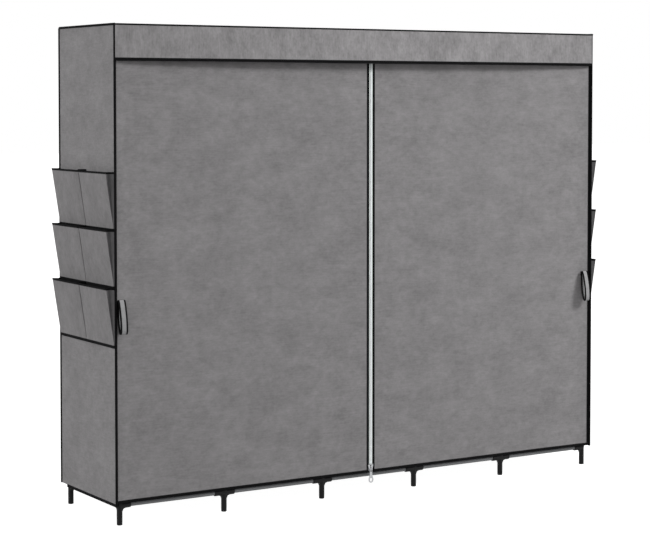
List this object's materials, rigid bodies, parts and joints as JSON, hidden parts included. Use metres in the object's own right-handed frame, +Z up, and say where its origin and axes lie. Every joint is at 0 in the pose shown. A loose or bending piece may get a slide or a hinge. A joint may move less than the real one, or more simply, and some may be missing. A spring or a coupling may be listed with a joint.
{
  "type": "portable fabric wardrobe",
  "caption": "Free-standing steel-tube wardrobe frame in a sewn fabric cover with two zipped front doors, a valance, tie-back loops and rows of side pockets.",
  "frame": {"origin": "centre of the footprint on the floor: the middle of the bounding box in x and y, at the soles of the feet", "axes": "+X along the front to the right, +Y from the front to the back, +Z up; the doors face -Y"},
  "size_m": [2.1346, 0.466, 1.704],
  "materials": {
    "connector_plastic": "satin black moulded plastic",
    "steel_tube": "grey powder-coated steel tube",
    "cover_cloth": "matt grey non-woven cloth with a linen-like print of slubs",
    "zip_tape": "white woven zip tape",
    "zip_metal": "plated zinc",
    "loop_strap": "light grey strap with black bound edges",
    "black_binding": "black woven edge binding"
  },
  "bodies": {
    "root": {"foot_front_1": "connector_plastic", "foot_front_2": "connector_plastic", "foot_front_3": "connector_plastic", "foot_front_4": "connector_plastic", "foot_front_5": "connector_plastic", "foot_front_6": "connector_plastic", "foot_rear_1": "connector_plastic", "foot_rear_2": "connector_plastic", "foot_rear_3": "connector_plastic", "foot_rear_4": "connector_plastic", "foot_rear_5": "connector_plastic", "foot_rear_6": "connector_plastic", "upright_front_1": "steel_tube", "upright_front_2": "steel_tube", "upright_front_3": "steel_tube", "upright_front_4": "steel_tube", "upright_front_5": "steel_tube", "upright_front_6": "steel_tube", "upright_rear_1": "steel_tube", "upright_rear_2": "steel_tube", "upright_rear_3": "steel_tube", "upright_rear_4": "steel_tube", "upright_rear_5": "steel_tube", "upright_rear_6": "steel_tube", "base_rail_front": "steel_tube", "base_rail_rear": "steel_tube", "top_rail_front": "steel_tube", "top_rail_rear": "steel_tube", "base_cross_left": "steel_tube", "base_cross_right": "steel_tube", "top_cross_1": "steel_tube", "top_cross_2": "steel_tube", "top_cross_3": "steel_tube", "top_cross_4": "steel_tube", "top_cross_5": "steel_tube", "top_cross_6": "steel_tube", "hanging_rod_left": "steel_tube", "hanging_rod_right": "steel_tube", "shelf_1": "cover_cloth", "shelf_2": "cover_cloth", "shelf_3": "cover_cloth", "side_panel_left": "cover_cloth", "side_panel_right": "cover_cloth", "back_panel": "cover_cloth", "roof_panel": "cover_cloth", "valance": "cover_cloth", "pocket_left_1": "cover_cloth", "pocket_left_2": "cover_cloth", "pocket_left_3": "cover_cloth", "pocket_right_1": "cover_cloth", "pocket_right_2": "cover_cloth", "pocket_right_3": "cover_cloth"},
    "left_door": {"door_left": "cover_cloth", "zip_tape_left": "zip_tape"},
    "right_door": {"door_right": "cover_cloth", "zip_tape_right": "zip_tape"},
    "slider": {"zip_slider": "zip_metal"},
    "pull": {"zip_pull": "zip_metal"},
    "left_loop": {"tie_loop_left": "loop_strap"},
    "right_loop": {"tie_loop_right": "loop_strap"}
  },
  "joints": [
    {"name": "left_door_swing", "type": "hinge", "parent": "root", "child": "left_door", "pos_m": [-1.029, -0.22204, 0.83], "axis": [0, 0, -1], "range_deg": [0, 110]},
    {"name": "right_door_swing", "type": "hinge", "parent": "root", "child": "right_door", "pos_m": [1.029, -0.22204, 0.83], "axis": [0, 0, 1], "range_deg": [0, 110]},
    {"name": "zip_travel", "type": "slide", "parent": "root", "child": "slider", "axis": [0, 0, 1], "range_m": [0, 1.447]},
    {"name": "pull_swing", "type": "hinge", "parent": "slider", "child": "pull", "pos_m": [0, -0.21314, 0.0877], "axis": [-1, 0, 0], "range_deg": [0, 160]},
    {"name": "left_loop_lift", "type": "hinge", "parent": "left_door", "child": "left_loop", "pos_m": [-1.009, -0.21358, 0.7665], "axis": [-1, 0, 0], "range_deg": [0, 100]},
    {"name": "right_loop_lift", "type": "hinge", "parent": "right_door", "child": "right_loop", "pos_m": [1.009, -0.21358, 0.7665], "axis": [-1, 0, 0], "range_deg": [0, 100]}
  ]
}
